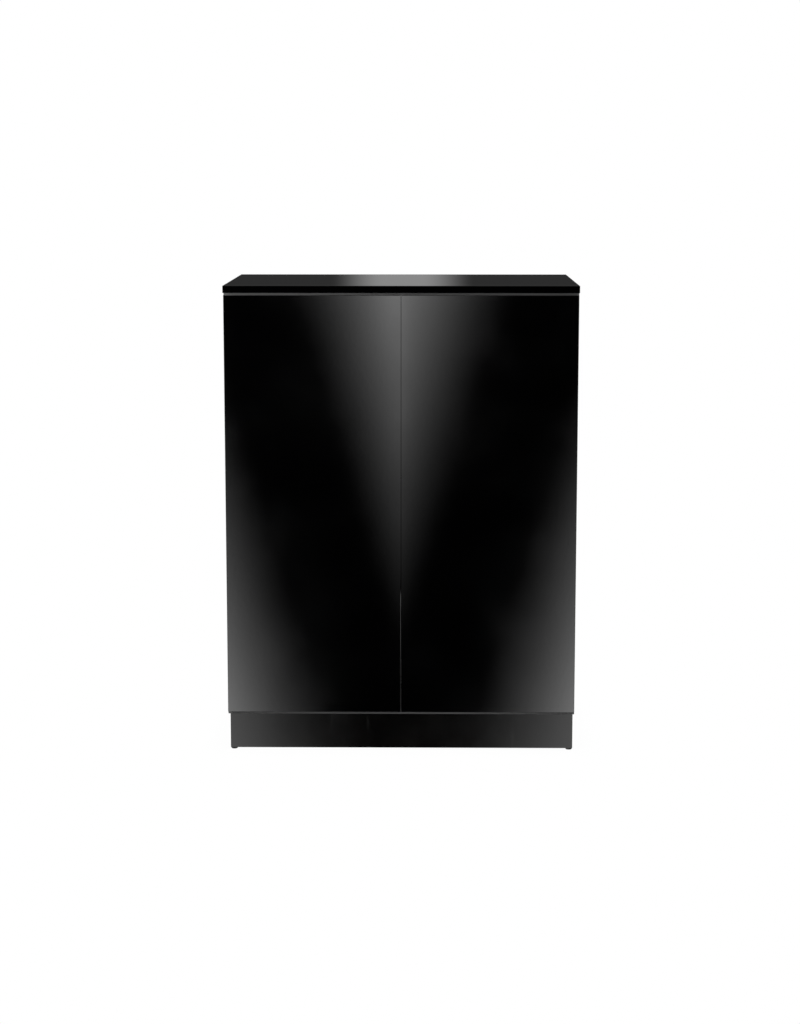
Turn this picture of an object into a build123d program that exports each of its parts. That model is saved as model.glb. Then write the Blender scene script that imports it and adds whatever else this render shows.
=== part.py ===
"""Aquarium stand cabinet: a flat-pack base cabinet with two handle-less push-to-open doors.

Millimetres, +Z up.  The origin is the centre of the footprint on the floor, the doors face -Y
and +X is to the right of somebody looking at the doors.
"""
from build123d import *
import os

# ---------------------------------------------------------------- driving dimensions
TOP_WIDTH = 600
TOP_DEPTH = 385
TOP_THICK = 12
HEIGHT = 815

BOARD = 16
DOOR_REVEAL = 1
SHADOW_GAP = 4
DOOR_BOTTOM = 81
DOOR_GAP = 0.8
DOOR_SETBACK = 1
DOOR_AIR = 2
PLINTH_SETBACK = 56
PLINTH_HEIGHT = 70.5
GLIDE_HEIGHT = 3
BAND = 1
BACK_THICK = 6
BACK_LEDGE = 8
REAR_SETBACK = 2

ARRIS = 0.6
SMALL_ARRIS = 0.4
PLAY = 0.05
SLIP = 0.1

# ---------------------------------------------------------------- planes worked out from them
HALF_TOP = TOP_WIDTH / 2
HALF_BODY = HALF_TOP
HALF_DOORS = HALF_BODY - DOOR_REVEAL
HALF_INSIDE = HALF_BODY - BOARD
FRONT = -TOP_DEPTH / 2
BACK = TOP_DEPTH / 2 - REAR_SETBACK
DOOR_FRONT = FRONT + DOOR_SETBACK
DOOR_BACK = DOOR_FRONT + BOARD
CARCASS_FRONT = DOOR_BACK + DOOR_AIR
BACK_FRONT = BACK - BACK_THICK
CARCASS_TOP = HEIGHT - TOP_THICK
DOOR_TOP = CARCASS_TOP - SHADOW_GAP
BOTTOM_LOW = GLIDE_HEIGHT + PLINTH_HEIGHT
BOTTOM_HIGH = BOTTOM_LOW + BOARD
UPPER_LOW = CARCASS_TOP - BOARD
KICK_FRONT = DOOR_FRONT + PLINTH_SETBACK
KICK_BACK = KICK_FRONT + BOARD
UPPER_MID = CARCASS_TOP - BOARD / 2
BOTTOM_MID = BOTTOM_LOW + BOARD / 2

# ---------------------------------------------------------------- joinery
CAM_RADIUS = 7.5
CAM_DEPTH = 12.5
CAM_FROM_END = 34
CAM_AIR = 0.3
CAM_SLOT = 1.4
CAM_SLOT_DEPTH = 2.5
CAM_Y = (-100, 140)
BOLT_RADIUS = 3
BOLT_HEAD_RADIUS = 3.6
BOLT_HEAD = 4
BOLT_NECK_RADIUS = 2.2
BOLT_END = 0.8
BOLT_BORE_RADIUS = 4
BOLT_THREAD_RADIUS = 2.5
BOLT_THREAD = 11
BOLT_HEAD_ROUND = 1
DOWEL_RADIUS = 4
DOWEL_IN_SIDE = 11
DOWEL_IN_BOARD = 19
DOWEL_END = 0.8
DOWEL_Y = (-145, 105)
DOWEL_Z = (20, 50)
BLIND_END = 1
SLAB_SCREW_X = (-220, 0, 220)
SLAB_SCREW_Y = (-140, 150)
SLAB_SCREW_BITE = 8
SLAB_SCREW_RADIUS = 2
SLAB_HEAD_RADIUS = 4
SLAB_HEAD_HEIGHT = 2.4
BACK_SCREW_X = (-270, -90, 90, 270)
BACK_SCREW_Z = (180, 310, 440, 570, 700)
BACK_SCREW_LENGTH = 22
BACK_SCREW_RADIUS = 1.6
BACK_HEAD_RADIUS = 3.2
BACK_HEAD_HEIGHT = 1.4

# ---------------------------------------------------------------- shelf
SHELF_LOW = 430
SHELF_FRONT = -160
SHELF_REAR = 140
SHELF_AIR = 1.5
PIN_RADIUS = 2.5
PIN_DEPTH = 8
PIN_REACH = 9
PIN_PITCH = 32
PIN_STEPS = range(-5, 6)
PIN_Y = (-110, 100)
PIN_COLLAR_RADIUS = 4
PIN_COLLAR = 1

# ---------------------------------------------------------------- floor glides
GLIDE_RADIUS = 5.5
GLIDE_INSET = 6
NAIL_RADIUS = 1
NAIL_LENGTH = 10
GLIDE_ROUND = 1
GLIDE_X = HALF_BODY - GLIDE_INSET
GLIDE_Y = (KICK_FRONT + GLIDE_INSET, BACK_FRONT - GLIDE_INSET)

# ---------------------------------------------------------------- hose outlets in the back
OUTLET_X = 170
OUTLET_Z = 700
OUTLET_WIDTH = 110
OUTLET_HEIGHT = 60
GROMMET_WALL = 2
GROMMET_LIP = 6
GROMMET_ROUND = 1.2

# ---------------------------------------------------------------- concealed hinges
# Local hinge frame: u runs inwards from the door's outer edge, v runs inwards from the door's
# back face.  The link turns on the cup pin and on the arm pin.
HINGE_Z = (DOOR_BOTTOM + 100, DOOR_TOP - 100)
CUP_U = 21.5
CUP_RADIUS = 17.5
CUP_DEPTH = 11.5
CUP_WALL = 1
CUP_PIN = (9.6, -5.4)
ARM_PIN = (31, 6)
LINK_CROWN = (24.06, -6.76)
HINGE_PIN_RADIUS = 1.4
CUP_PIN_HALF = 11.3
EYE_RADIUS = 2.7
LINK_THICK = 2.5
LINK_HALF = 5.9
CHEEK_INSIDE = 6.2
CHEEK_OUTSIDE = 7.8
ARM_FACE_U = 36
ARM_END_V = 60
ARM_OUTLINE = (
    (27.4, 3.4), (29.2, 2.3), (33, 2.3), (ARM_FACE_U, 5.2),
    (ARM_FACE_U, ARM_END_V), (22, ARM_END_V), (22, 26), (27.4, 14),
)
ARM_WEB_U = 34.5
ARM_WEB_START = 8
WING_U = (18, 36)
WING_HALF = 29
WING_THICK = 1.2
WING_CORNER = 5
CUP_SCREW_U = 27.5
CUP_SCREW_Z = 24
CUP_SCREW_RADIUS = 1.7
CUP_SCREW_LENGTH = 12
CUP_HEAD_RADIUS = 3.2
CUP_HEAD_HEIGHT = 1.5
PLATE_U = BOARD - DOOR_REVEAL
PLATE_V = (29, 49)
PLATE_HALF = 24
PLATE_THICK = 2
RAIL_V = (28, 58)
RAIL_HALF = 6.1
PLATE_SCREW_V = 39
PLATE_SCREW_Z = 16
PLATE_SCREW_RADIUS = 2.2
PLATE_SCREW_LENGTH = 14
PLATE_SCREW_DEPTH = 12
PLATE_HEAD_RADIUS = 3.6
PLATE_HEAD_HEIGHT = 2
ARM_SCREW_V = 43
ARM_SCREW_RADIUS = 2.5
ARM_SCREW_LENGTH = 14
ARM_HEAD_RADIUS = 4
ARM_HEAD_HEIGHT = 2.2

# ---------------------------------------------------------------- push latches, strikes and bumpers
LATCH_X = 25
LATCH_FRONT = -171.5
LATCH_LENGTH = 75
LATCH_WIDTH = 20
LATCH_HEIGHT = 14
LATCH_FLANGE_WIDTH = 38
LATCH_FLANGE = 2.5
LATCH_FLANGE_END = 8
LATCH_ROUND = 2
LATCH_CORNER = 3
LATCH_SCREW_RADIUS = 1.6
LATCH_SCREW_LENGTH = 14
LATCH_HEAD_RADIUS = 3
LATCH_HEAD_HEIGHT = 1.4
LATCH_SCREW_OUT = 14
LATCH_SCREW_Y = (-155, -110)
PLUNGER_RADIUS = 4.5
PLUNGER_BORE_RADIUS = 3.1
PLUNGER_TIP = -174.4
PLUNGER_TIP_DEPTH = 9
PLUNGER_ROUND = 1
PLUNGER_END = -130
LATCH_BORE_END = -102
SPRING_FRONT = -162.5
SPRING_RADIUS = 2.4
SPRING_WIRE_RADIUS = 0.35
SPRING_PITCH = 3.9
STRIKE_SIZE = 24
STRIKE_THICK = 1
STRIKE_CORNER = 2
BUMPER_RADIUS = 3
BUMPER_THICK = 1.8
BUMPER_ROUND = 0.8
BUMPER_X = 12
BUMPER_INSET = 5

os.makedirs("parts", exist_ok=True)


def save(builder, name):
    """Label a finished sub-part and write it as its own STEP file."""
    builder.part.label = name
    export_step(builder.part, f"parts/{name}.step")


def board(x, y, z, mode=Mode.ADD):
    """A square-edged board between pairs of x, y and z planes."""
    with BuildSketch(Plane.XY.offset(z[0])) as outline:
        with Locations(((x[0] + x[1]) / 2, (y[0] + y[1]) / 2)):
            Rectangle(x[1] - x[0], y[1] - y[0])
    extrude(outline.sketch, amount=z[1] - z[0], mode=mode)


def bore(start, direction, radius, depth):
    """Subtract a round bore that starts at a point and runs along a direction."""
    with BuildSketch(Plane(origin=start, z_dir=direction)) as mouth:
        Circle(radius)
    extrude(mouth.sketch, amount=depth, mode=Mode.SUBTRACT)


def rod(start, direction, radius, length):
    """Add a round rod that starts at a point and runs along a direction."""
    with BuildSketch(Plane(origin=start, z_dir=direction)) as end:
        Circle(radius)
    extrude(end.sketch, amount=length)


def hinge_point(uv, z=0):
    """World point of a hinge-frame point on the left side of the cabinet."""
    return (-HALF_DOORS + uv[0], DOOR_BACK + uv[1], z)


def hinge_plan(uv):
    """The same point in plan only."""
    return hinge_point(uv)[:2]


def mirrored(source, name):
    """Write the right-hand twin of a left-hand sub-part."""
    with BuildPart() as twin:
        mirror(source.part, about=Plane.YZ)
    save(twin, name)


def group(source, places, name):
    """Write one node that holds the same solid at several places."""
    with BuildPart() as copies:
        with Locations(*places):
            add(source.part)
    save(copies, name)
    return copies


def screw(shank_radius, length, head_radius, head_height, countersunk=False):
    """A simplified wood screw along +Z: the head's outer face is at z = 0."""
    with BuildPart() as part:
        with BuildSketch(Plane.XZ):
            with BuildLine():
                if countersunk:
                    Polyline((0, 0), (head_radius, 0), (shank_radius, head_height),
                             (shank_radius, length - shank_radius), (0, length), (0, 0))
                else:
                    Polyline((0, 0), (head_radius * 0.7, 0), (head_radius, head_height * 0.5),
                             (head_radius, head_height), (shank_radius, head_height),
                             (shank_radius, length - shank_radius), (0, length), (0, 0))
            make_face()
        revolve(axis=Axis.Z)
        for turn in (0, 90):
            with BuildSketch(Plane.XY.rotated((0, 0, turn))):
                Rectangle(head_radius * 1.1, head_radius * 0.26)
            extrude(amount=head_height * 0.5, mode=Mode.SUBTRACT)
    return part


# ---------------------------------------------------------------- top slab
with BuildPart() as top_slab:
    board((-HALF_TOP, HALF_TOP), (FRONT, -FRONT), (CARCASS_TOP, HEIGHT))
    fillet(top_slab.edges().filter_by(Axis.Z), ARRIS)
    fillet(top_slab.faces().sort_by(Axis.Z)[-1].edges(), ARRIS)
    fillet(top_slab.faces().sort_by(Axis.Z)[0].edges(), SMALL_ARRIS)
    for x in SLAB_SCREW_X:
        for y in SLAB_SCREW_Y:
            bore((x, y, CARCASS_TOP), (0, 0, 1), SLAB_SCREW_RADIUS + PLAY, SLAB_SCREW_BITE + BLIND_END)
save(top_slab, "top_slab")

# ---------------------------------------------------------------- side panels
with BuildPart() as left_side_panel:
    board((-HALF_BODY, -HALF_INSIDE), (CARCASS_FRONT + BAND, BACK), (GLIDE_HEIGHT, CARCASS_TOP))
    toe_y = (CARCASS_FRONT, KICK_FRONT)
    board((-HALF_BODY, -HALF_INSIDE), toe_y, (GLIDE_HEIGHT, BOTTOM_LOW), Mode.SUBTRACT)
    outer_edges = left_side_panel.faces().sort_by(Axis.X)[0].edges()
    fillet(outer_edges.filter_by(Axis.Z), SMALL_ARRIS)
    rebate_x = (-HALF_INSIDE - BACK_LEDGE, -HALF_INSIDE)
    board(rebate_x, (BACK_FRONT, BACK), (GLIDE_HEIGHT, CARCASS_TOP), Mode.SUBTRACT)
    for z in (BOTTOM_MID, UPPER_MID):
        for y in CAM_Y:
            bore((-HALF_INSIDE, y, z), (-1, 0, 0), BOLT_THREAD_RADIUS + PLAY, BOLT_THREAD + BLIND_END)
        for y in DOWEL_Y:
            bore((-HALF_INSIDE, y, z), (-1, 0, 0), DOWEL_RADIUS + PLAY, DOWEL_IN_SIDE + BLIND_END)
    for z in DOWEL_Z:
        for y in (KICK_FRONT + BOARD / 2, BACK_FRONT - BOARD / 2):
            bore((-HALF_INSIDE, y, z), (-1, 0, 0), DOWEL_RADIUS + PLAY, DOWEL_IN_SIDE + BLIND_END)
    for step in PIN_STEPS:
        for y in PIN_Y:
            pin_z = SHELF_LOW - PIN_RADIUS + step * PIN_PITCH
            bore((-HALF_INSIDE, y, pin_z), (-1, 0, 0), PIN_RADIUS + PLAY, PIN_DEPTH + BLIND_END)
    for hinge_z in HINGE_Z:
        for side in (-1, 1):
            place = hinge_point((PLATE_U, PLATE_SCREW_V), hinge_z + side * PLATE_SCREW_Z)
            bore(place, (-1, 0, 0), PLATE_SCREW_RADIUS + PLAY, PLATE_SCREW_DEPTH)
    for z in BACK_SCREW_Z:
        place = (-HALF_INSIDE - BACK_LEDGE / 2, BACK_FRONT, z)
        bore(place, (0, -1, 0), BACK_SCREW_RADIUS + PLAY, BACK_SCREW_LENGTH - BACK_THICK + BLIND_END)
    for y in GLIDE_Y:
        bore((-GLIDE_X, y, GLIDE_HEIGHT), (0, 0, 1), NAIL_RADIUS + PLAY, NAIL_LENGTH + BLIND_END)
save(left_side_panel, "left_side_panel")
mirrored(left_side_panel, "right_side_panel")

# ---------------------------------------------------------------- upper and bottom panels
CAM_X = HALF_INSIDE - CAM_FROM_END
LATCH_SCREW_PLACES = [
    (side * LATCH_X + out * LATCH_SCREW_OUT, y)
    for side in (-1, 1) for out in (-1, 1) for y in LATCH_SCREW_Y
]


def end_joinery(z_mid, cam_face_z, cam_direction):
    """Bores for cams, cam bolts and dowels at both ends of a horizontal panel."""
    for side in (-1, 1):
        for y in CAM_Y:
            bore((side * CAM_X, y, cam_face_z), cam_direction, CAM_RADIUS + SLIP, CAM_DEPTH + CAM_AIR)
            bore((side * HALF_INSIDE, y, z_mid), (-side, 0, 0), BOLT_BORE_RADIUS, CAM_FROM_END)
        for y in DOWEL_Y:
            dowel_start = (side * HALF_INSIDE, y, z_mid)
            bore(dowel_start, (-side, 0, 0), DOWEL_RADIUS + PLAY, DOWEL_IN_BOARD + BLIND_END)


def back_screw_bores(z_mid):
    """Pilot bores for the back panel's screws in the rear edge of a horizontal panel."""
    for x in BACK_SCREW_X:
        depth = BACK_SCREW_LENGTH - BACK_THICK + BLIND_END
        bore((x, BACK_FRONT, z_mid), (0, -1, 0), BACK_SCREW_RADIUS + PLAY, depth)


with BuildPart() as upper_panel:
    board((-HALF_INSIDE, HALF_INSIDE), (CARCASS_FRONT + BAND, BACK_FRONT), (UPPER_LOW, CARCASS_TOP))
    end_joinery(UPPER_MID, CARCASS_TOP, (0, 0, -1))
    back_screw_bores(UPPER_MID)
    for x in SLAB_SCREW_X:
        for y in SLAB_SCREW_Y:
            bore((x, y, UPPER_LOW), (0, 0, 1), SLAB_SCREW_RADIUS + PLAY, BOARD)
            with Locations(Location((x, y, UPPER_LOW))):
                Cone(SLAB_HEAD_RADIUS + SLIP, SLAB_SCREW_RADIUS + SLIP, SLAB_HEAD_HEIGHT + SLIP,
                     align=(Align.CENTER, Align.CENTER, Align.MIN), mode=Mode.SUBTRACT)
    for x, y in LATCH_SCREW_PLACES:
        bore((x, y, UPPER_LOW), (0, 0, 1), LATCH_SCREW_RADIUS + PLAY, LATCH_SCREW_LENGTH - LATCH_FLANGE)
save(upper_panel, "upper_panel")

with BuildPart() as bottom_panel:
    board((-HALF_INSIDE, HALF_INSIDE), (CARCASS_FRONT + BAND, BACK_FRONT), (BOTTOM_LOW, BOTTOM_HIGH))
    end_joinery(BOTTOM_MID, BOTTOM_LOW, (0, 0, 1))
    back_screw_bores(BOTTOM_MID)
save(bottom_panel, "bottom_panel")

# ---------------------------------------------------------------- front edge bands
with BuildPart() as side_edge_bands:
    for side in (-1, 1):
        spread = sorted((side * HALF_BODY, side * HALF_INSIDE))
        board(spread, (CARCASS_FRONT, CARCASS_FRONT + BAND), (BOTTOM_LOW, CARCASS_TOP))
save(side_edge_bands, "side_edge_bands")

with BuildPart() as panel_edge_bands:
    for low in (BOTTOM_LOW, UPPER_LOW):
        board((-HALF_INSIDE, HALF_INSIDE), (CARCASS_FRONT, CARCASS_FRONT + BAND), (low, low + BOARD))
save(panel_edge_bands, "panel_edge_bands")

# ---------------------------------------------------------------- plinth
BRACE_HALF = BOARD / 2


def kickboard(y):
    """A plinth board between the side panels, bored for its dowels."""
    board((-HALF_INSIDE, HALF_INSIDE), y, (GLIDE_HEIGHT, BOTTOM_LOW))
    for side in (-1, 1):
        for z in DOWEL_Z:
            start = (side * HALF_INSIDE, sum(y) / 2, z)
            bore(start, (-side, 0, 0), DOWEL_RADIUS + PLAY, DOWEL_IN_BOARD + BLIND_END)


with BuildPart() as front_kickboard:
    kickboard((KICK_FRONT, KICK_BACK))
    for z in DOWEL_Z:
        bore((0, KICK_BACK, z), (0, -1, 0), DOWEL_RADIUS + PLAY, DOWEL_IN_SIDE + BLIND_END)
save(front_kickboard, "front_kickboard")

with BuildPart() as rear_kickboard:
    kickboard((BACK_FRONT - BOARD, BACK_FRONT))
    for z in DOWEL_Z:
        bore((0, BACK_FRONT - BOARD, z), (0, 1, 0), DOWEL_RADIUS + PLAY, DOWEL_IN_SIDE + BLIND_END)
save(rear_kickboard, "rear_kickboard")

with BuildPart() as plinth_brace:
    board((-BRACE_HALF, BRACE_HALF), (KICK_BACK, BACK_FRONT - BOARD), (GLIDE_HEIGHT, BOTTOM_LOW))
    for z in DOWEL_Z:
        bore((0, KICK_BACK, z), (0, 1, 0), DOWEL_RADIUS + PLAY, DOWEL_IN_BOARD + BLIND_END)
        bore((0, BACK_FRONT - BOARD, z), (0, -1, 0), DOWEL_RADIUS + PLAY, DOWEL_IN_BOARD + BLIND_END)
save(plinth_brace, "plinth_brace")

# ---------------------------------------------------------------- dowels, cams and cam bolts
with BuildPart() as dowels:
    dowel_length = DOWEL_IN_SIDE + DOWEL_IN_BOARD
    for side in (-1, 1):
        for z in (BOTTOM_MID, UPPER_MID):
            for y in DOWEL_Y:
                rod((side * (HALF_INSIDE + DOWEL_IN_SIDE), y, z), (-side, 0, 0), DOWEL_RADIUS, dowel_length)
        for z in DOWEL_Z:
            for y in (KICK_FRONT + BOARD / 2, BACK_FRONT - BOARD / 2):
                rod((side * (HALF_INSIDE + DOWEL_IN_SIDE), y, z), (-side, 0, 0), DOWEL_RADIUS, dowel_length)
    for z in DOWEL_Z:
        rod((0, KICK_BACK - DOWEL_IN_SIDE, z), (0, 1, 0), DOWEL_RADIUS, dowel_length)
        rod((0, BACK_FRONT - BOARD + DOWEL_IN_SIDE, z), (0, -1, 0), DOWEL_RADIUS, dowel_length)
    chamfer(dowels.edges().filter_by(GeomType.CIRCLE), DOWEL_END)
save(dowels, "dowels")

# One cam, its axis along +Z and its drive face at z = 0; the bolt comes in along +X.
with BuildPart() as cam:
    Cylinder(CAM_RADIUS, CAM_DEPTH, align=(Align.CENTER, Align.CENTER, Align.MIN))
    bore((CAM_RADIUS, 0, BOARD / 2), (-1, 0, 0), BOLT_HEAD_RADIUS + CAM_AIR, CAM_RADIUS + BOLT_HEAD)
    for turn in (0, 90):
        with BuildSketch(Plane.XY.rotated((0, 0, turn))):
            Rectangle(CAM_RADIUS, CAM_SLOT)
        extrude(amount=CAM_SLOT_DEPTH, mode=Mode.SUBTRACT)

CAM_PLACES = []
for side in (-1, 1):
    for y in CAM_Y:
        CAM_PLACES.append(Location((side * CAM_X, y, BOTTOM_LOW), (0, 0, 0 if side > 0 else 180)))
        CAM_PLACES.append(Location((side * CAM_X, y, CARCASS_TOP), (180, 0, 0 if side > 0 else 180)))
group(cam, CAM_PLACES, "cam_locks")

# One cam bolt along +X: the thread ends at x = 0.
with BuildPart() as cam_bolt:
    shaft_end = BOLT_THREAD + CAM_FROM_END
    rod((0, 0, 0), (1, 0, 0), BOLT_THREAD_RADIUS, BOLT_THREAD)
    rod((BOLT_THREAD, 0, 0), (1, 0, 0), BOLT_RADIUS, CAM_FROM_END - BOLT_HEAD)
    rod((shaft_end - BOLT_HEAD, 0, 0), (1, 0, 0), BOLT_NECK_RADIUS, BOLT_HEAD)
    rod((shaft_end - BOLT_HEAD / 2, 0, 0), (1, 0, 0), BOLT_HEAD_RADIUS, BOLT_HEAD)
    fillet(cam_bolt.faces().sort_by(Axis.X)[-1].edges(), BOLT_HEAD_ROUND)
    chamfer(cam_bolt.faces().sort_by(Axis.X)[0].edges(), BOLT_END)

BOLT_PLACES = []
for z in (BOTTOM_MID, UPPER_MID):
    for y in CAM_Y:
        BOLT_PLACES.append(Location((-HALF_INSIDE - BOLT_THREAD, y, z)))
        BOLT_PLACES.append(Location((HALF_INSIDE + BOLT_THREAD, y, z), (0, 0, 180)))
group(cam_bolt, BOLT_PLACES, "cam_bolts")

# ---------------------------------------------------------------- back panel and its outlets
def outlet_prism(width, height, y, mode=Mode.ADD):
    """Round-ended prisms between two y planes, one at each hose outlet."""
    with BuildSketch(Plane.XZ.offset(-y[0])) as outline:
        with Locations((-OUTLET_X, OUTLET_Z), (OUTLET_X, OUTLET_Z)):
            SlotOverall(width, height)
    extrude(outline.sketch, amount=y[0] - y[1], mode=mode)


with BuildPart() as back_panel:
    half_back = HALF_INSIDE + BACK_LEDGE - SLIP
    board((-half_back, half_back), (BACK_FRONT, BACK), (BOTTOM_LOW, CARCASS_TOP))
    cut_width = OUTLET_WIDTH + 2 * (GROMMET_WALL + PLAY)
    cut_height = OUTLET_HEIGHT + 2 * (GROMMET_WALL + PLAY)
    outlet_prism(cut_width, cut_height, (BACK_FRONT, BACK), Mode.SUBTRACT)
    for x in BACK_SCREW_X:
        for z in (BOTTOM_MID, UPPER_MID):
            bore((x, BACK, z), (0, -1, 0), BACK_SCREW_RADIUS + PLAY, BACK_THICK)
    for side in (-1, 1):
        for z in BACK_SCREW_Z:
            place = (side * (HALF_INSIDE + BACK_LEDGE / 2), BACK, z)
            bore(place, (0, -1, 0), BACK_SCREW_RADIUS + PLAY, BACK_THICK)
save(back_panel, "back_panel")

with BuildPart() as hose_grommets:
    outer_width = OUTLET_WIDTH + 2 * GROMMET_WALL
    outer_height = OUTLET_HEIGHT + 2 * GROMMET_WALL
    outlet_prism(outer_width, outer_height, (BACK_FRONT, BACK))
    outlet_prism(outer_width + 2 * GROMMET_LIP, outer_height + 2 * GROMMET_LIP, (BACK, BACK + REAR_SETBACK))
    fillet(hose_grommets.faces().group_by(Axis.Y)[-1].edges(), GROMMET_ROUND)
    outlet_prism(OUTLET_WIDTH, OUTLET_HEIGHT, (BACK_FRONT, BACK + REAR_SETBACK), Mode.SUBTRACT)
save(hose_grommets, "hose_grommets")

# ---------------------------------------------------------------- panel screws
back_screw = screw(BACK_SCREW_RADIUS, BACK_SCREW_LENGTH + BACK_HEAD_HEIGHT,
                   BACK_HEAD_RADIUS, BACK_HEAD_HEIGHT)
back_screw_xz = [(x, z) for x in BACK_SCREW_X for z in (BOTTOM_MID, UPPER_MID)]
back_screw_xz += [(side * (HALF_INSIDE + BACK_LEDGE / 2), z) for side in (-1, 1) for z in BACK_SCREW_Z]
BACK_SCREW_PLACES = [Location((x, BACK + BACK_HEAD_HEIGHT, z), (90, 0, 0)) for x, z in back_screw_xz]
group(back_screw, BACK_SCREW_PLACES, "back_screws")

slab_screw = screw(SLAB_SCREW_RADIUS, BOARD + SLAB_SCREW_BITE, SLAB_HEAD_RADIUS, SLAB_HEAD_HEIGHT,
                   countersunk=True)
SLAB_SCREW_PLACES = [Location((x, y, UPPER_LOW)) for x in SLAB_SCREW_X for y in SLAB_SCREW_Y]
group(slab_screw, SLAB_SCREW_PLACES, "slab_screws")

# ---------------------------------------------------------------- shelf and its pins
with BuildPart() as shelf:
    half_shelf = HALF_INSIDE - SHELF_AIR
    board((-half_shelf, half_shelf), (SHELF_FRONT, SHELF_REAR), (SHELF_LOW, SHELF_LOW + BOARD))
    fillet(shelf.edges().filter_by(Axis.X), SMALL_ARRIS)
save(shelf, "shelf")

with BuildPart() as shelf_pins:
    for side in (-1, 1):
        for y in PIN_Y:
            pin_z = SHELF_LOW - PIN_RADIUS
            pin_start = (side * (HALF_INSIDE + PIN_DEPTH), y, pin_z)
            rod(pin_start, (-side, 0, 0), PIN_RADIUS, PIN_DEPTH + PIN_REACH)
            rod((side * HALF_INSIDE, y, pin_z), (-side, 0, 0), PIN_COLLAR_RADIUS, PIN_COLLAR)
save(shelf_pins, "shelf_pins")

# ---------------------------------------------------------------- floor glides
with BuildPart() as glide:
    Cylinder(GLIDE_RADIUS, GLIDE_HEIGHT, align=(Align.CENTER, Align.CENTER, Align.MIN))
    fillet(glide.edges().sort_by(Axis.Z)[0], GLIDE_ROUND)
    rod((0, 0, GLIDE_HEIGHT), (0, 0, 1), NAIL_RADIUS, NAIL_LENGTH)
GLIDE_PLACES = [Location((side * GLIDE_X, y, 0)) for side in (-1, 1) for y in GLIDE_Y]
group(glide, GLIDE_PLACES, "floor_glides")

# ---------------------------------------------------------------- doors
with BuildPart() as left_door:
    board((-HALF_DOORS, -DOOR_GAP / 2), (DOOR_FRONT, DOOR_BACK), (DOOR_BOTTOM, DOOR_TOP))
    fillet(left_door.edges().filter_by(Axis.Y), ARRIS)
    fillet(left_door.faces().sort_by(Axis.Y)[0].edges(), ARRIS)
    fillet(left_door.faces().sort_by(Axis.Y)[-1].edges(), SMALL_ARRIS)
    for hinge_z in HINGE_Z:
        bore(hinge_point((CUP_U, 0), hinge_z), (0, -1, 0), CUP_RADIUS + PLAY, CUP_DEPTH + PLAY)
        for side in (-1, 1):
            place = hinge_point((CUP_SCREW_U, 0), hinge_z + side * CUP_SCREW_Z)
            bore(place, (0, -1, 0), CUP_SCREW_RADIUS + PLAY, CUP_SCREW_LENGTH)
save(left_door, "left_door")
mirrored(left_door, "right_door")

# ---------------------------------------------------------------- hinge pieces at z = 0, left side
with BuildPart() as hinge_cup:
    cup_axis = Plane(origin=hinge_point((CUP_U, 0)), x_dir=(1, 0, 0), z_dir=(0, -1, 0))
    with BuildSketch(cup_axis):
        Circle(CUP_RADIUS)
    extrude(amount=CUP_DEPTH)
    fillet(hinge_cup.faces().sort_by(Axis.Y)[0].edges(), SMALL_ARRIS)
    with BuildSketch(cup_axis):
        wing_centre = (WING_U[0] + WING_U[1]) / 2 - CUP_U
        with Locations((wing_centre, 0)):
            RectangleRounded(WING_U[1] - WING_U[0], 2 * WING_HALF, WING_CORNER)
        with Locations(*[(CUP_SCREW_U - CUP_U, side * CUP_SCREW_Z) for side in (-1, 1)]):
            Circle(CUP_SCREW_RADIUS + PLAY, mode=Mode.SUBTRACT)
    extrude(amount=-WING_THICK)
    with BuildSketch(cup_axis.offset(-WING_THICK)):
        Circle(CUP_RADIUS - CUP_WALL)
    extrude(amount=WING_THICK + CUP_DEPTH - CUP_WALL, mode=Mode.SUBTRACT)
    rod(hinge_point(CUP_PIN, -CUP_PIN_HALF), (0, 0, 1), HINGE_PIN_RADIUS, 2 * CUP_PIN_HALF)

with BuildPart() as hinge_link:
    with BuildSketch():
        with BuildLine():
            ThreePointArc(hinge_plan(CUP_PIN), hinge_plan(LINK_CROWN), hinge_plan(ARM_PIN))
        trace(line_width=LINK_THICK)
        with Locations(hinge_plan(CUP_PIN), hinge_plan(ARM_PIN)):
            Circle(EYE_RADIUS)
            Circle(HINGE_PIN_RADIUS + PLAY, mode=Mode.SUBTRACT)
    extrude(amount=LINK_HALF, both=True)

with BuildPart() as hinge_arm:
    with BuildSketch():
        with BuildLine():
            Polyline(*[hinge_plan(corner) for corner in ARM_OUTLINE], close=True)
        make_face()
    extrude(amount=CHEEK_OUTSIDE, both=True)
    web_x = hinge_plan((ARM_WEB_U, 0))[0]
    web_start_y = DOOR_BACK + ARM_WEB_START
    channel_y = (DOOR_BACK, DOOR_BACK + ARM_END_V)
    board((-HALF_DOORS, web_x), channel_y, (-CHEEK_INSIDE, CHEEK_INSIDE), Mode.SUBTRACT)
    board((-HALF_DOORS, 0), (DOOR_BACK, web_start_y), (-CHEEK_INSIDE, CHEEK_INSIDE), Mode.SUBTRACT)
    rod(hinge_point(ARM_PIN, -CHEEK_OUTSIDE), (0, 0, 1), HINGE_PIN_RADIUS, 2 * CHEEK_OUTSIDE)
    bore(hinge_point((ARM_FACE_U, ARM_SCREW_V)), (-1, 0, 0), ARM_SCREW_RADIUS + SLIP, ARM_FACE_U - ARM_WEB_U)

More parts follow.
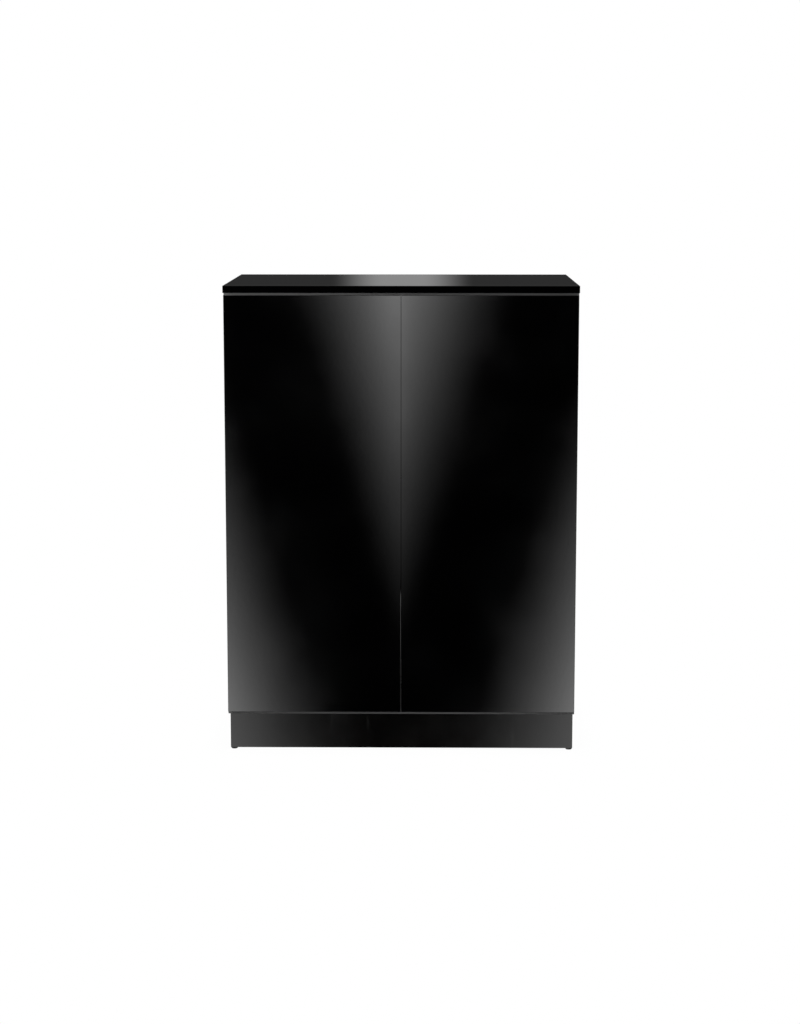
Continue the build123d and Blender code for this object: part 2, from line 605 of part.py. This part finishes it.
with BuildPart() as hinge_plate:
    plate_face = Plane(origin=hinge_point((PLATE_U, PLATE_SCREW_V)), x_dir=(0, 1, 0), z_dir=(1, 0, 0))
    with BuildSketch(plate_face):
        RectangleRounded(PLATE_V[1] - PLATE_V[0], 2 * PLATE_HALF, WING_CORNER)
        with Locations((0, -PLATE_SCREW_Z), (0, PLATE_SCREW_Z)):
            Circle(PLATE_SCREW_RADIUS + PLAY, mode=Mode.SUBTRACT)
    extrude(amount=PLATE_THICK)
    rail_x = (-HALF_INSIDE + PLATE_THICK, -HALF_DOORS + ARM_WEB_U)
    board(rail_x, (DOOR_BACK + RAIL_V[0], DOOR_BACK + RAIL_V[1]), (-RAIL_HALF, RAIL_HALF))
    bore(hinge_point((ARM_WEB_U, ARM_SCREW_V)), (-1, 0, 0), ARM_SCREW_RADIUS + PLAY, ARM_SCREW_LENGTH)

LEFT_HINGES = [Location((0, 0, z)) for z in HINGE_Z]
left_hinge_cups = group(hinge_cup, LEFT_HINGES, "left_hinge_cups")
mirrored(left_hinge_cups, "right_hinge_cups")
left_hinge_links = group(hinge_link, LEFT_HINGES, "left_hinge_links")
mirrored(left_hinge_links, "right_hinge_links")


def both_sides(source, name):
    """Write one node with the left-hand piece at both hinge heights and its mirror twins."""
    with BuildPart() as four:
        with Locations(*LEFT_HINGES):
            add(source.part)
        mirror(about=Plane.YZ)
    save(four, name)


both_sides(hinge_arm, "hinge_arms")
both_sides(hinge_plate, "hinge_plates")

# ---------------------------------------------------------------- hinge screws
plate_screw = screw(PLATE_SCREW_RADIUS, PLATE_SCREW_LENGTH, PLATE_HEAD_RADIUS, PLATE_HEAD_HEIGHT)
with BuildPart() as left_plate_screws:
    for hinge_z in HINGE_Z:
        for side in (-1, 1):
            head_u = PLATE_U + PLATE_THICK + PLATE_HEAD_HEIGHT
            place = hinge_point((head_u, PLATE_SCREW_V), hinge_z + side * PLATE_SCREW_Z)
            with Locations(Location(place, (0, -90, 0))):
                add(plate_screw.part)
with BuildPart() as hinge_plate_screws:
    add(left_plate_screws.part)
    mirror(about=Plane.YZ)
save(hinge_plate_screws, "hinge_plate_screws")

arm_screw = screw(ARM_SCREW_RADIUS, ARM_SCREW_LENGTH, ARM_HEAD_RADIUS, ARM_HEAD_HEIGHT)
with BuildPart() as left_arm_screws:
    for hinge_z in HINGE_Z:
        place = hinge_point((ARM_FACE_U + ARM_HEAD_HEIGHT, ARM_SCREW_V), hinge_z)
        with Locations(Location(place, (0, -90, 0))):
            add(arm_screw.part)
with BuildPart() as hinge_arm_screws:
    add(left_arm_screws.part)
    mirror(about=Plane.YZ)
save(hinge_arm_screws, "hinge_arm_screws")

cup_screw = screw(CUP_SCREW_RADIUS, CUP_SCREW_LENGTH, CUP_HEAD_RADIUS, CUP_HEAD_HEIGHT)
CUP_SCREW_PLACES = []
for hinge_z in HINGE_Z:
    for side in (-1, 1):
        head_v = WING_THICK + CUP_HEAD_HEIGHT
        place = hinge_point((CUP_SCREW_U, head_v), hinge_z + side * CUP_SCREW_Z)
        CUP_SCREW_PLACES.append(Location(place, (90, 0, 0)))
left_cup_screws = group(cup_screw, CUP_SCREW_PLACES, "left_cup_screws")
mirrored(left_cup_screws, "right_cup_screws")

# ---------------------------------------------------------------- push latches
LATCH_AXIS_Z = UPPER_LOW - LATCH_HEIGHT / 2
with BuildPart() as left_latch_housing:
    latch_y = (LATCH_FRONT, LATCH_FRONT + LATCH_LENGTH)
    latch_x = (-LATCH_X - LATCH_WIDTH / 2, -LATCH_X + LATCH_WIDTH / 2)
    board(latch_x, latch_y, (UPPER_LOW - LATCH_HEIGHT, UPPER_LOW))
    fillet(left_latch_housing.faces().sort_by(Axis.Z)[0].edges(), LATCH_ROUND)
    flange_x = (-LATCH_X - LATCH_FLANGE_WIDTH / 2, -LATCH_X + LATCH_FLANGE_WIDTH / 2)
    flange_y = (LATCH_SCREW_Y[0] - LATCH_FLANGE_END, LATCH_SCREW_Y[1] + LATCH_FLANGE_END)
    board(flange_x, flange_y, (UPPER_LOW - LATCH_FLANGE, UPPER_LOW))
    for end in (0, -1):
        fillet(left_latch_housing.edges().filter_by(Axis.Z).group_by(Axis.X)[end], LATCH_CORNER)
    for x, y in LATCH_SCREW_PLACES[:4]:
        bore((x, y, UPPER_LOW - LATCH_FLANGE), (0, 0, 1), LATCH_SCREW_RADIUS + PLAY, LATCH_FLANGE)
    bore_length = LATCH_BORE_END - LATCH_FRONT
    bore((-LATCH_X, LATCH_FRONT, LATCH_AXIS_Z), (0, 1, 0), PLUNGER_RADIUS + PLAY, bore_length)
with BuildPart() as latch_housings:
    add(left_latch_housing.part)
    mirror(about=Plane.YZ)
save(latch_housings, "latch_housings")

with BuildPart() as left_plunger:
    rod((-LATCH_X, PLUNGER_TIP, LATCH_AXIS_Z), (0, 1, 0), PLUNGER_RADIUS, PLUNGER_END - PLUNGER_TIP)
    fillet(left_plunger.edges().sort_by(Axis.Y)[0], PLUNGER_ROUND)
    hollow_start = PLUNGER_TIP + PLUNGER_TIP_DEPTH
    bore((-LATCH_X, hollow_start, LATCH_AXIS_Z), (0, 1, 0), PLUNGER_BORE_RADIUS, PLUNGER_END - hollow_start)
save(left_plunger, "left_plunger")
mirrored(left_plunger, "right_plunger")

with BuildPart() as left_spring:
    spring_length = LATCH_BORE_END - 2 * SPRING_WIRE_RADIUS - SPRING_FRONT
    spring_start = (-LATCH_X, SPRING_FRONT, LATCH_AXIS_Z)
    with BuildLine():
        coil = Helix(SPRING_PITCH, spring_length, SPRING_RADIUS, center=spring_start, direction=(0, 1, 0))
    with BuildSketch(Plane(origin=coil @ 0, z_dir=coil % 0)):
        Circle(SPRING_WIRE_RADIUS)
    sweep(is_frenet=True)
with BuildPart() as latch_springs:
    add(left_spring.part)
    mirror(about=Plane.YZ)
save(latch_springs, "latch_springs")

latch_screw = screw(LATCH_SCREW_RADIUS, LATCH_SCREW_LENGTH, LATCH_HEAD_RADIUS, LATCH_HEAD_HEIGHT)
LATCH_HEAD_LOW = UPPER_LOW - LATCH_FLANGE - LATCH_HEAD_HEIGHT
LATCH_SCREW_LOCATIONS = [Location((x, y, LATCH_HEAD_LOW)) for x, y in LATCH_SCREW_PLACES]
group(latch_screw, LATCH_SCREW_LOCATIONS, "latch_screws")

# ---------------------------------------------------------------- strike plates and bumpers
with BuildPart() as left_strike_plate:
    with BuildSketch(Plane.XZ.offset(-DOOR_BACK)) as strike_outline:
        with Locations((-LATCH_X, LATCH_AXIS_Z)):
            RectangleRounded(STRIKE_SIZE, STRIKE_SIZE / 2, STRIKE_CORNER)
    extrude(amount=-STRIKE_THICK)
save(left_strike_plate, "left_strike_plate")
mirrored(left_strike_plate, "right_strike_plate")

with BuildPart() as left_bumpers:
    for z in (DOOR_BOTTOM + BUMPER_INSET, DOOR_TOP - BUMPER_INSET):
        rod((-BUMPER_X, DOOR_BACK, z), (0, 1, 0), BUMPER_RADIUS, BUMPER_THICK)
    fillet(left_bumpers.faces().filter_by(Axis.Y).group_by(Axis.Y)[-1].edges(), BUMPER_ROUND)
save(left_bumpers, "left_bumpers")
mirrored(left_bumpers, "right_bumpers")
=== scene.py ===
"""Gloss-black aquarium stand cabinet: materials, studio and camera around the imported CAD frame."""
import math

import bpy
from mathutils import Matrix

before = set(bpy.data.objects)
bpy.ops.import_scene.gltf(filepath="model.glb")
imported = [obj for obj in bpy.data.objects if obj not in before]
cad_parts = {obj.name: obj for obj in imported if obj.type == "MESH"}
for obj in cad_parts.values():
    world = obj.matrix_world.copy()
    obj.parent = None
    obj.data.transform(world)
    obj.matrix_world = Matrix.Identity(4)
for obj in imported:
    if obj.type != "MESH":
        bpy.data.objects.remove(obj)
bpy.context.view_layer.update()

MM = 0.001

# ---------------------------------------------------------------- camera
CAMERA_PLACE = (44.6 * MM, -3922.4 * MM, 1020.3 * MM)
CAMERA_PITCH = 8.972
CAMERA_YAW = 0.712
CAMERA_LENS = 77.965
CAMERA_SENSOR = 36.0
CAMERA_CLIP = (0.05, 60.0)

# ---------------------------------------------------------------- studio reflections
# Directions are written as slopes: u sideways and v upwards for one unit of travel along Y.
# A ramp is (from, to, value at from, value at to), over the size of x or over z of the direction.
SEAM_U = -0.01195
BAND_LEAN = 0.2962
BAND_INNER = 0.0703
BAND_OUTER = 0.1048
INNER_RISE_LEFT = 8.6
INNER_RISE_RIGHT = 7.9
SEAM_BLEND = 0.004
OUTER_RISE = 8.40
FRONT_LIMIT = 0.47
LACQUER_REFLECTANCE = 0.078
TOP_GLOW_U = -0.0112
TOP_GLOW_FLAT = 0.0078
TOP_GLOW_END = 0.0325
TOP_GLOW = 0.265
TOP_DARK = 0.028
DISPLAY_GAMMA = 2.2
LEAST_TRAVEL = 0.02
FRONT_BLEND = 0.02
LIMIT_OFF_CENTRE = (0.15, 0.3, FRONT_LIMIT, 0.11)
LIMIT_AT_SIDES = (0.45, 0.8, 0.0, 0.13)
LIMIT_UPWARDS = (-0.04, 0.1, 1.0, 0.25)
LIMIT_DOWNWARDS = (-0.5, -0.33, 0.3, 1.0)
CEILING = (0.15, 0.8, 0.0, 0.55)
SIDE_WALLS = (0.35, 0.85, 0.0, 0.34)
UPPER_FRONT = (0.12, 0.32, 0.0, 0.55)
LOW_BACKGROUND = (-0.5, -0.05, 0.12, 0.0)

# ---------------------------------------------------------------- soft light
ROOM_LIGHT = 0.55
FLOOR_LIGHT = 0.055
SOFT_HORIZON = (-0.35, -0.02, FLOOR_LIGHT, ROOM_LIGHT)
GAP_LAMP_PLACE = (-0.88, -1.0, 0.86)
GAP_LAMP_TARGET = (-0.13, -0.19, 0.78)
GAP_LAMP_SIZE = (0.5, 0.25)
GAP_LAMP_WATTS = 6.4
FLOOR_HALF = 12.0
CONTACT_SHADOW_REACH = 0.06
CONTACT_SHADOW_TONE = 0.97
CONTACT_SHADOW_SAMPLES = 8

# ---------------------------------------------------------------- places on the cabinet
SEAM_ARRIS = 1.4 * MM
ARRIS_FACING = -0.15
SEAM_GLINT = (0.12, 0.32)
FRONT_FACING = -0.9
FACING_UP = (0.6, 0.95)
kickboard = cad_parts["front_kickboard"]
TOE_HEIGHT = max((kickboard.matrix_world @ vertex.co).z for vertex in kickboard.data.vertices)


class Value:
    """A number inside a node tree, so that formulas can be written as formulas."""

    def __init__(self, tree, socket):
        self.tree = tree
        self.socket = socket

    def math(self, operation, *others):
        node = self.tree.nodes.new("ShaderNodeMath")
        node.operation = operation
        for slot, value in zip(node.inputs, (self,) + others):
            connect(self.tree, value, slot)
        return Value(self.tree, node.outputs[0])

    def __add__(self, other):
        return self.math("ADD", other)

    def __sub__(self, other):
        return self.math("SUBTRACT", other)

    def __rsub__(self, other):
        return (self * -1.0).math("ADD", other)

    def __mul__(self, other):
        return self.math("MULTIPLY", other)

    def __truediv__(self, other):
        return self.math("DIVIDE", other)

    def __pow__(self, other):
        return self.math("POWER", other)

    def size(self):
        return self.math("ABSOLUTE")

    def at_least(self, low):
        return self.math("MAXIMUM", low)

    def at_most(self, high):
        return self.math("MINIMUM", high)

    def ramp(self, low, high, to_low=0.0, to_high=1.0, smooth=False):
        """Maps low..high to to_low..to_high, held at both ends."""
        node = self.tree.nodes.new("ShaderNodeMapRange")
        node.interpolation_type = "SMOOTHSTEP" if smooth else "LINEAR"
        connect(self.tree, self, node.inputs["Value"])
        node.inputs["From Min"].default_value = low
        node.inputs["From Max"].default_value = high
        connect(self.tree, to_low, node.inputs["To Min"])
        connect(self.tree, to_high, node.inputs["To Max"])
        return Value(self.tree, node.outputs["Result"])


def connect(tree, value, slot):
    """Feed a node input from a Value, a socket or a plain number."""
    if isinstance(value, Value):
        tree.links.new(value.socket, slot)
    elif isinstance(value, bpy.types.NodeSocket):
        tree.links.new(value, slot)
    else:
        slot.default_value = value


def mix_colours(tree, amount, first, second):
    node = tree.nodes.new("ShaderNodeMix")
    node.data_type = "RGBA"
    connect(tree, amount, node.inputs["Factor"])
    connect(tree, first, node.inputs["A"])
    connect(tree, second, node.inputs["B"])
    return node.outputs["Result"]


def components(tree, vector):
    """The x, y and z of a vector socket."""
    split = tree.nodes.new("ShaderNodeSeparateXYZ")
    tree.links.new(vector, split.inputs[0])
    return [Value(tree, output) for output in split.outputs]


def grey(level):
    return (level, level, level, 1.0)


# ---------------------------------------------------------------- world
def reflected_studio(direction):
    """Brightness that polished faces see, by direction: slanted soft cards in front, a low glow behind."""
    x, y, z = direction
    travel = y.size().at_least(LEAST_TRAVEL)
    u = x / travel
    v = z / travel

    from_seam = u - SEAM_U
    across = from_seam.size() - v * BAND_LEAN
    inner_rise = from_seam.ramp(-SEAM_BLEND, SEAM_BLEND, INNER_RISE_LEFT, INNER_RISE_RIGHT)
    inner = ((BAND_INNER - across) * inner_rise).at_least(0.0)
    outer = ((across - BAND_OUTER) * OUTER_RISE).at_least(0.0)
    limit = x.size().ramp(*LIMIT_OFF_CENTRE, smooth=True) + x.size().ramp(*LIMIT_AT_SIDES, smooth=True)
    limit = limit * z.ramp(*LIMIT_UPWARDS, smooth=True) * z.ramp(*LIMIT_DOWNWARDS, smooth=True)
    shade = (inner + outer).at_most(limit)

    room = z.ramp(*CEILING, smooth=True) + x.size().ramp(*SIDE_WALLS, smooth=True)
    upper_front = room * z.ramp(*UPPER_FRONT, smooth=True)
    front = shade ** DISPLAY_GAMMA / LACQUER_REFLECTANCE + upper_front

    off_glow = (u - TOP_GLOW_U).size()
    behind = off_glow.ramp(TOP_GLOW_FLAT, TOP_GLOW_END, TOP_GLOW, TOP_DARK, smooth=True)
    rear = behind + room + z.ramp(*LOW_BACKGROUND, smooth=True)

    is_front = y.ramp(-FRONT_BLEND, FRONT_BLEND, 1.0, 0.0)
    return rear + is_front * (front - rear)


def white_light(tree, strength):
    """A white background shader of the given strength."""
    node = tree.nodes.new("ShaderNodeBackground")
    node.inputs["Color"].default_value = grey(1.0)
    connect(tree, strength, node.inputs["Strength"])
    return node.outputs[0]


def mix_shaders(tree, amount, first, second):
    node = tree.nodes.new("ShaderNodeMixShader")
    for slot, socket in zip(node.inputs, (amount, first, second)):
        tree.links.new(socket, slot)
    return node.outputs[0]


def build_world():
    """White to the camera, soft light to matte surfaces, the patterned studio to polished ones."""
    world = bpy.data.worlds.new("studio")
    bpy.context.scene.world = world
    world.use_nodes = True
    tree = world.node_tree
    tree.nodes.clear()
    path = tree.nodes.new("ShaderNodeLightPath")
    coordinates = tree.nodes.new("ShaderNodeTexCoord")
    direction = components(tree, coordinates.outputs["Generated"])
    soft = white_light(tree, direction[2].ramp(*SOFT_HORIZON, smooth=True))
    gloss = white_light(tree, reflected_studio(direction))
    lit = mix_shaders(tree, path.outputs["Is Glossy Ray"], soft, gloss)
    seen = mix_shaders(tree, path.outputs["Is Camera Ray"], lit, white_light(tree, 1.0))
    output = tree.nodes.new("ShaderNodeOutputWorld")
    tree.links.new(seen, output.inputs["Surface"])


def build_gap_lamp():
    """A soft rectangular lamp for the edging in the shadow gap; it isn't mirrored in the lacquer."""
    data = bpy.data.lights.new("gap_light", "AREA")
    data.shape = "RECTANGLE"
    data.size, data.size_y = GAP_LAMP_SIZE
    data.energy = GAP_LAMP_WATTS
    lamp = bpy.data.objects.new("gap_light", data)
    bpy.context.collection.objects.link(lamp)
    lamp.location = GAP_LAMP_PLACE
    x, y, z = [b - a for a, b in zip(GAP_LAMP_PLACE, GAP_LAMP_TARGET)]
    lamp.rotation_euler = (math.pi / 2 + math.atan2(z, math.hypot(x, y)), 0.0, math.atan2(-x, y))
    lamp.visible_glossy = False
    lamp.visible_camera = False


# ---------------------------------------------------------------- materials
class Paint:
    """A principled material with its coordinates in metres, in the object's own frame."""

    def __init__(self, name):
        self.material = bpy.data.materials.new(name)
        self.material.use_nodes = True
        self.tree = self.material.node_tree
        self.shader = self.tree.nodes["Principled BSDF"]
        coordinates = self.tree.nodes.new("ShaderNodeTexCoord")
        self.place = coordinates.outputs["Object"]

    def set(self, **inputs):
        for name, value in inputs.items():
            connect(self.tree, value, self.shader.inputs[name.replace("_", " ")])

    def stretched(self, scale):
        node = self.tree.nodes.new("ShaderNodeMapping")
        self.tree.links.new(self.place, node.inputs["Vector"])
        node.inputs["Scale"].default_value = scale
        return node.outputs["Vector"]

    def noise(self, per_metre, detail=2.0, roughness=0.5, vector=None):
        node = self.tree.nodes.new("ShaderNodeTexNoise")
        self.tree.links.new(vector or self.place, node.inputs["Vector"])
        node.inputs["Scale"].default_value = per_metre
        node.inputs["Detail"].default_value = detail
        node.inputs["Roughness"].default_value = roughness
        return Value(self.tree, node.outputs["Fac"])

    def bump(self, height, depth, strength=1.0):
        node = self.tree.nodes.new("ShaderNodeBump")
        node.inputs["Strength"].default_value = strength
        node.inputs["Distance"].default_value = depth
        connect(self.tree, height, node.inputs["Height"])
        return node.outputs["Normal"]

    def turned(self, normal, source, target):
        """A normal carried between the world's frame and the object's."""
        node = self.tree.nodes.new("ShaderNodeVectorTransform")
        node.vector_type = "NORMAL"
        node.convert_from = source
        node.convert_to = target
        connect(self.tree, normal, node.inputs[0])
        return node.outputs[0]

    def surface_normal(self):
        """The true surface normal in the object's frame."""
        normal = self.tree.nodes.new("ShaderNodeNewGeometry").outputs["Normal"]
        return components(self.tree, self.turned(normal, "WORLD", "OBJECT"))

    def facing_up(self):
        """1 on faces that look straight up, 0 on upright ones."""
        return self.surface_normal()[2].ramp(*FACING_UP)

    def toe_front(self):
        """1 on the plinth's front faces, 0 elsewhere."""
        low = components(self.tree, self.place)[2].math("LESS_THAN", TOE_HEIGHT)
        return self.surface_normal()[1].math("LESS_THAN", FRONT_FACING) * low

    def crisp_seam(self, half_width, normal):
        """The given normal, but facing squarely forward on the small arrises next to the plane x = 0.

        The lowest part of the left door's arris keeps its own normal, so that it glints.
        """
        x, _, z = components(self.tree, self.place)
        squared = x.math("GREATER_THAN", 0.0).at_least(z.ramp(*SEAM_GLINT, smooth=True))
        near = x.size().math("LESS_THAN", half_width) * squared
        on_arris = self.surface_normal()[1].math("LESS_THAN", ARRIS_FACING) * near
        mix = self.tree.nodes.new("ShaderNodeMix")
        mix.data_type = "VECTOR"
        connect(self.tree, on_arris, mix.inputs["Factor"])
        connect(self.tree, normal, mix.inputs["A"])
        connect(self.tree, self.turned((0.0, -1.0, 0.0), "OBJECT", "WORLD"), mix.inputs["B"])
        return mix.outputs["Result"]

    def tint(self, amount, first, second):
        return mix_colours(self.tree, amount, first, second)


def lacquer(name, polished_top_only=False):
    """High-gloss black lacquer: clear coat, faint orange peel, wiped-dust roughness."""
    paint = Paint(name)
    cloud = paint.noise(9.0, detail=3.0, roughness=0.55)
    peel = paint.noise(140.0, detail=1.0, roughness=0.4)
    dust = paint.noise(2600.0, detail=1.0, roughness=0.5).ramp(0.70, 0.82)
    smudge = cloud.ramp(0.35, 0.75, 0.035, 0.075)
    normal = paint.bump(peel, 0.01 * MM, 0.25)
    paint.set(Base_Color=paint.tint(dust * 0.2, (0.0005, 0.0005, 0.0006, 1.0), grey(0.008)), IOR=1.5)
    if polished_top_only:
        polish = paint.facing_up()
        paint.set(Roughness=polish.ramp(0.0, 1.0, 0.55, smudge))
        paint.set(Coat_Weight=polish, Coat_Roughness=0.03)
        paint.set(Specular_IOR_Level=polish.ramp(0.0, 1.0, 0.0, 0.5))
    else:
        normal = paint.crisp_seam(SEAM_ARRIS, normal)
        paint.set(Roughness=smudge, Coat_Weight=1.0, Coat_Roughness=0.02)
    paint.set(Normal=normal, Coat_Normal=normal)
    return paint.material


def melamine(name):
    """Satin melamine board: fine pebble relief, slightly uneven sheen; smoother on the plinth's front."""
    paint = Paint(name)
    pebble = paint.noise(1500.0, detail=2.0, roughness=0.6)
    cloud = paint.noise(14.0, detail=3.0, roughness=0.6)
    upright = paint.stretched((1.0, 1.0, 0.15))
    scuff = paint.noise(60.0, detail=4.0, roughness=0.7, vector=upright).ramp(0.62, 0.8)
    toe = paint.toe_front()
    darker = paint.tint(toe, (0.0060, 0.0058, 0.0057, 1.0), (0.0011, 0.0008, 0.0007, 1.0))
    lighter = paint.tint(toe, (0.0128, 0.0125, 0.0123, 1.0), (0.0024, 0.0018, 0.0015, 1.0))
    roughness = cloud.ramp(0.3, 0.7, 0.85, 1.15) * toe.ramp(0.0, 1.0, 0.30, 0.08)
    paint.set(Base_Color=paint.tint(cloud, darker, lighter), Roughness=roughness + scuff * 0.06)
    relief = paint.bump(pebble * toe.ramp(0.0, 1.0, 1.0, 0.2), 0.02 * MM, 0.5)
    paint.set(Normal=relief, IOR=1.5, Specular_IOR_Level=toe.ramp(0.0, 1.0, 0.5, 0.47))
    return paint.material


def edging(name):
    """Anthracite ABS edge band: fine streaks along the strip, over a fine grain."""
    paint = Paint(name)
    along = paint.stretched((0.03, 1.0, 1.0))
    streak = paint.noise(700.0, detail=2.0, roughness=0.5, vector=along)
    grain = paint.noise(3000.0, detail=1.0, roughness=0.5)
    paint.set(Base_Color=paint.tint(streak, grey(0.145), grey(0.205)))
    paint.set(Roughness=streak.ramp(0.3, 0.7, 0.42, 0.55), Normal=paint.bump(grain, 0.02 * MM, 0.4))
    return paint.material


def fibreboard(name):
    """Black-faced hardboard: matte, with a faint felted fibre."""
    paint = Paint(name)
    upright = paint.stretched((1.0, 1.0, 0.35))
    fibre = paint.noise(420.0, detail=5.0, roughness=0.7, vector=upright)
    cloud = paint.noise(7.0, detail=3.0, roughness=0.6)
    colour = paint.tint(cloud, (0.010, 0.0095, 0.009, 1.0), (0.019, 0.018, 0.017, 1.0))
    paint.set(Base_Color=paint.tint(fibre.ramp(0.45, 0.75), colour, grey(0.03)))
    paint.set(Roughness=fibre.ramp(0.3, 0.7, 0.55, 0.78), Normal=paint.bump(fibre, 0.08 * MM, 0.6))
    return paint.material


def metal(name, colour, roughness, streaks=(1.0, 1.0, 1.0)):
    """Plated metal: fine directional scratches and a cloudy, slightly uneven sheen."""
    paint = Paint(name)
    scratch = paint.noise(1800.0, detail=3.0, roughness=0.6, vector=paint.stretched(streaks))
    cloud = paint.noise(90.0, detail=3.0, roughness=0.6)
    darker = tuple(0.78 * part for part in colour) + (1.0,)
    paint.set(Base_Color=paint.tint(cloud, darker, colour + (1.0,)), Metallic=1.0)
    paint.set(Roughness=cloud.ramp(0.3, 0.7, roughness * 0.8, roughness * 1.25))
    paint.set(Normal=paint.bump(scratch, 0.03 * MM, 0.35))
    return paint.material


def plastic(name, colour, roughness):
    """Moulded plastic with a spark-eroded grain."""
    paint = Paint(name)
    grain = paint.noise(2400.0, detail=2.0, roughness=0.6)
    cloud = paint.noise(40.0, detail=2.0, roughness=0.5)
    darker = tuple(0.8 * part for part in colour) + (1.0,)
    paint.set(Base_Color=paint.tint(cloud, darker, colour + (1.0,)))
    paint.set(Roughness=grain.ramp(0.3, 0.7, roughness * 0.85, roughness * 1.15))
    paint.set(Normal=paint.bump(grain, 0.03 * MM, 0.5))
    return paint.material


def clear_bumper(name):
    """Clear soft polyurethane with a slight haze."""
    paint = Paint(name)
    haze = paint.noise(900.0, detail=2.0, roughness=0.5)
    paint.set(Base_Color=paint.tint(haze, grey(0.72), grey(0.9)), Transmission_Weight=0.7)
    paint.set(Roughness=haze.ramp(0.3, 0.7, 0.15, 0.35), IOR=1.45)
    return paint.material


def beech(name):
    """Raw beech: fine grain along the rod, short dark flecks."""
    paint = Paint(name)
    long_grain = paint.stretched((0.06, 1.0, 1.0))
    short_grain = paint.stretched((0.2, 1.0, 1.0))
    grain = paint.noise(900.0, detail=4.0, roughness=0.6, vector=long_grain)
    fleck = paint.noise(2500.0, detail=1.0, roughness=0.5, vector=short_grain).ramp(0.66, 0.74)
    wood = paint.tint(grain, (0.42, 0.26, 0.14, 1.0), (0.62, 0.43, 0.26, 1.0))
    paint.set(Base_Color=paint.tint(fleck, wood, (0.25, 0.14, 0.07, 1.0)))
    paint.set(Roughness=grain.ramp(0.3, 0.7, 0.55, 0.75), Normal=paint.bump(grain, 0.05 * MM, 0.5))
    return paint.material


def make_materials():
    """One finish per group of CAD nodes."""
    finishes = {
        lacquer("door_lacquer"): ("left_door", "right_door"),
        lacquer("top_lacquer", polished_top_only=True): ("top_slab",),
        edging("anthracite_edging"): ("side_edge_bands", "panel_edge_bands"),
        melamine("board_satin"): (
            "left_side_panel", "right_side_panel", "upper_panel", "bottom_panel",
            "front_kickboard", "rear_kickboard", "plinth_brace", "shelf",
        ),
        fibreboard("back_board"): ("back_panel",),
        beech("dowel_beech"): ("dowels",),
        metal("zinc_casting", (0.50, 0.50, 0.51), 0.42): ("cam_locks",),
        metal("zinc_plate", (0.66, 0.67, 0.68), 0.30): (
            "cam_bolts", "back_screws", "slab_screws", "hinge_plate_screws", "hinge_arm_screws",
            "left_cup_screws", "right_cup_screws", "latch_screws", "left_strike_plate",
            "right_strike_plate",
        ),
        metal("nickel_plate", (0.62, 0.60, 0.57), 0.22, (1.0, 0.08, 1.0)): (
            "hinge_arms", "hinge_plates", "left_hinge_cups", "right_hinge_cups",
            "left_hinge_links", "right_hinge_links", "shelf_pins",
        ),
        metal("spring_wire", (0.42, 0.42, 0.43), 0.28): ("latch_springs",),
        plastic("glide_plastic", (0.055, 0.054, 0.052), 0.5): ("floor_glides",),
        plastic("latch_plastic", (0.20, 0.20, 0.21), 0.4): ("latch_housings",),
        plastic("black_plastic", (0.012, 0.012, 0.012), 0.38): (
            "hose_grommets", "left_plunger", "right_plunger",
        ),
        clear_bumper("clear_bumper"): ("left_bumpers", "right_bumpers"),
    }
    for material, nodes in finishes.items():
        for node in nodes:
            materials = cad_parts[node].data.materials
            materials.clear()
            materials.append(material)


# ---------------------------------------------------------------- floor
def build_floor():
    """A pale floor that photographs as clean white, with a breath of contact shadow."""
    mesh = bpy.data.meshes.new("studio_floor")
    corners = [(x * FLOOR_HALF, y * FLOOR_HALF, 0.0) for x, y in ((-1, -1), (1, -1), (1, 1), (-1, 1))]
    mesh.from_pydata(corners, [], [(0, 1, 2, 3)])
    floor = bpy.data.objects.new("studio_floor", mesh)
    bpy.context.collection.objects.link(floor)
    material = bpy.data.materials.new("studio_floor")
    material.use_nodes = True
    tree = material.node_tree
    tree.nodes.clear()
    shadow = tree.nodes.new("ShaderNodeAmbientOcclusion")
    shadow.inputs["Distance"].default_value = CONTACT_SHADOW_REACH
    shadow.samples = CONTACT_SHADOW_SAMPLES
    shade = Value(tree, shadow.outputs["AO"]).ramp(0.0, 1.0, CONTACT_SHADOW_TONE, 1.0)
    glow = tree.nodes.new("ShaderNodeEmission")
    connect(tree, shade, glow.inputs["Strength"])
    output = tree.nodes.new("ShaderNodeOutputMaterial")
    tree.links.new(glow.outputs[0], output.inputs["Surface"])
    mesh.materials.append(material)
    floor.visible_glossy = False
    floor.visible_diffuse = False


def build_camera():
    data = bpy.data.cameras.new("camera")
    data.lens = CAMERA_LENS
    data.sensor_width = CAMERA_SENSOR
    data.clip_start, data.clip_end = CAMERA_CLIP
    camera = bpy.data.objects.new("camera", data)
    camera.location = CAMERA_PLACE
    camera.rotation_euler = (math.radians(90.0 - CAMERA_PITCH), 0.0, math.radians(CAMERA_YAW))
    bpy.context.collection.objects.link(camera)
    bpy.context.scene.camera = camera


make_materials()
build_world()
build_floor()
build_camera()
build_gap_lamp()
bpy.context.scene.view_settings.view_transform = "Standard"
